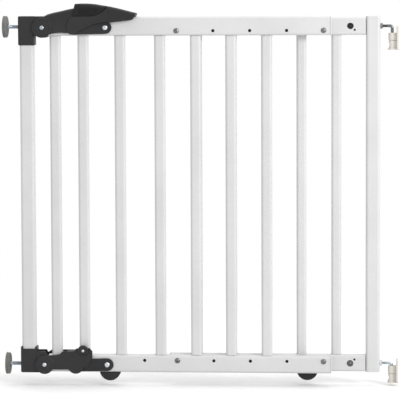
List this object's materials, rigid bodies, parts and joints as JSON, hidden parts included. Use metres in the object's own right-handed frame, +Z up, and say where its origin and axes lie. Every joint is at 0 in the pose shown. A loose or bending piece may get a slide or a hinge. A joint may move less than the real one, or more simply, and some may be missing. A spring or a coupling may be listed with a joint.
{
  "type": "stair gate with toggle latch",
  "caption": "White metal extending stair gate: an over-centre toggle latch pushes its end post against one wall, and it hangs on hooks in two wall brackets.",
  "frame": {"origin": "middle of the lower wall bracket's wall face", "axes": "+X out of the gate towards the hinge wall, +Z up, -Y the side that the gate is looked at from"},
  "size_m": [0.788, 0.0585, 0.761],
  "materials": {
    "white_paint": "satin white powder coat on steel tube",
    "white_plastic": "moulded, satin",
    "black_plastic": "fine moulded grain",
    "ivory_plastic": "moulded, satin",
    "zinc_steel": "bright zinc plating",
    "grey_rubber": "matt"
  },
  "bodies": {
    "wall_side": {"wall_bracket_lower": "ivory_plastic", "wall_bracket_upper": "ivory_plastic"},
    "gate_leaf": {"hinge_stile": "white_paint", "stile_plug_top": "white_plastic", "stile_plug_bottom": "white_plastic", "extension_top_rail": "white_paint", "extension_bottom_rail": "white_paint", "extension_bar_1": "white_paint", "extension_bar_2": "white_paint", "extension_bar_3": "white_paint", "extension_bar_4": "white_paint", "extension_bar_5": "white_paint", "main_top_rail": "white_paint", "main_bottom_rail": "white_paint", "main_bar_1": "white_paint", "main_bar_2": "white_paint", "main_bar_3": "white_paint", "main_bar_4": "white_paint", "main_bar_5": "white_paint", "main_bar_6": "white_paint", "main_bar_7": "white_paint", "main_top_rail_cap": "white_plastic", "main_bottom_rail_cap": "white_plastic", "panel_bolt_upper_left": "zinc_steel", "panel_bolt_upper_right": "zinc_steel", "panel_bolt_lower_left": "zinc_steel", "panel_bolt_lower_right": "zinc_steel", "hinge_hook_upper": "zinc_steel", "hinge_hook_lower": "zinc_steel", "hook_lock_nut_upper": "zinc_steel", "hook_lock_nut_lower": "zinc_steel", "hook_dowel_upper": "black_plastic", "hook_dowel_lower": "black_plastic", "floor_glide_left": "black_plastic", "floor_glide_right": "black_plastic", "link_bolt_upper": "zinc_steel", "link_bolt_lower": "zinc_steel"},
    "upper_link": {"upper_link_front": "black_plastic", "upper_link_back": "black_plastic"},
    "latch_handle": {"handle_arm": "black_plastic", "handle_grip": "black_plastic", "slider_spring": "zinc_steel"},
    "thumb_slider": {"thumb_slider": "black_plastic"},
    "latch_post": {"latch_post": "white_paint", "top_fitting": "black_plastic", "bottom_fitting": "black_plastic", "upper_pivot_screw_front": "zinc_steel", "upper_pivot_screw_back": "zinc_steel", "lower_pivot_screw_front": "zinc_steel", "lower_pivot_screw_back": "zinc_steel"},
    "lower_link": {"lower_link_front": "black_plastic", "lower_link_back": "black_plastic"},
    "lower_lever": {"lower_lever": "black_plastic", "catch_screw": "zinc_steel"},
    "lock_catch": {"lock_catch": "black_plastic"},
    "upper_pad": {"pressure_spindle_upper": "zinc_steel", "pressure_pad_upper": "grey_rubber"},
    "lower_pad": {"pressure_spindle_lower": "zinc_steel", "pressure_pad_lower": "grey_rubber"}
  },
  "joints": [
    {"name": "leaf_swing", "type": "hinge", "parent": "wall_side", "child": "gate_leaf", "pos_m": [-0.013, 0, 0], "axis": [0, 0, 1], "range_deg": [-90, 90]},
    {"name": "latch_lift", "type": "hinge", "parent": "gate_leaf", "child": "upper_link", "pos_m": [-0.58264, -0.0205, 0.6895], "axis": [0, 1, 0], "range_deg": [0, 35]},
    {"name": "handle_knee", "type": "hinge", "parent": "upper_link", "child": "latch_handle", "pos_m": [-0.64562, -0.0205, 0.68785], "axis": [0, -1, 0], "range_deg": [0, 70]},
    {"name": "thumb_slide", "type": "slide", "parent": "latch_handle", "child": "thumb_slider", "axis": [-1, 0, 0], "range_m": [0, 0.008], "stiffness_N_per_m": 400, "springref_m": -0.004, "deforming": ["slider_spring"]},
    {"name": "post_pivot", "type": "hinge", "parent": "latch_handle", "child": "latch_post", "pos_m": [-0.7086, -0.0205, 0.6895], "axis": [0, 1, 0], "range_deg": [0, 35]},
    {"name": "lower_link_fold", "type": "hinge", "parent": "gate_leaf", "child": "lower_link", "pos_m": [-0.58264, -0.0205, 0.0135], "axis": [0, 1, 0], "range_deg": [0, 35]},
    {"name": "lower_knee", "type": "hinge", "parent": "lower_link", "child": "lower_lever", "pos_m": [-0.64562, -0.0205, 0.01185], "axis": [0, -1, 0], "range_deg": [0, 70]},
    {"name": "catch_turn", "type": "hinge", "parent": "lower_lever", "child": "lock_catch", "pos_m": [-0.6306, -0.0205, 0.0421], "axis": [0, 1, 0], "range_deg": [0, 90]},
    {"name": "upper_pad_adjust", "type": "slide", "parent": "latch_post", "child": "upper_pad", "axis": [-1, 0, 0], "range_m": [-0.006, 0.01]},
    {"name": "lower_pad_adjust", "type": "slide", "parent": "latch_post", "child": "lower_pad", "axis": [-1, 0, 0], "range_m": [-0.006, 0.01]}
  ],
  "couplings": [
    {"joint": "handle_knee", "follows": "latch_lift", "ratio": 2},
    {"joint": "post_pivot", "follows": "latch_lift", "ratio": 1},
    {"joint": "lower_link_fold", "follows": "latch_lift", "ratio": 1},
    {"joint": "lower_knee", "follows": "latch_lift", "ratio": 2}
  ]
}
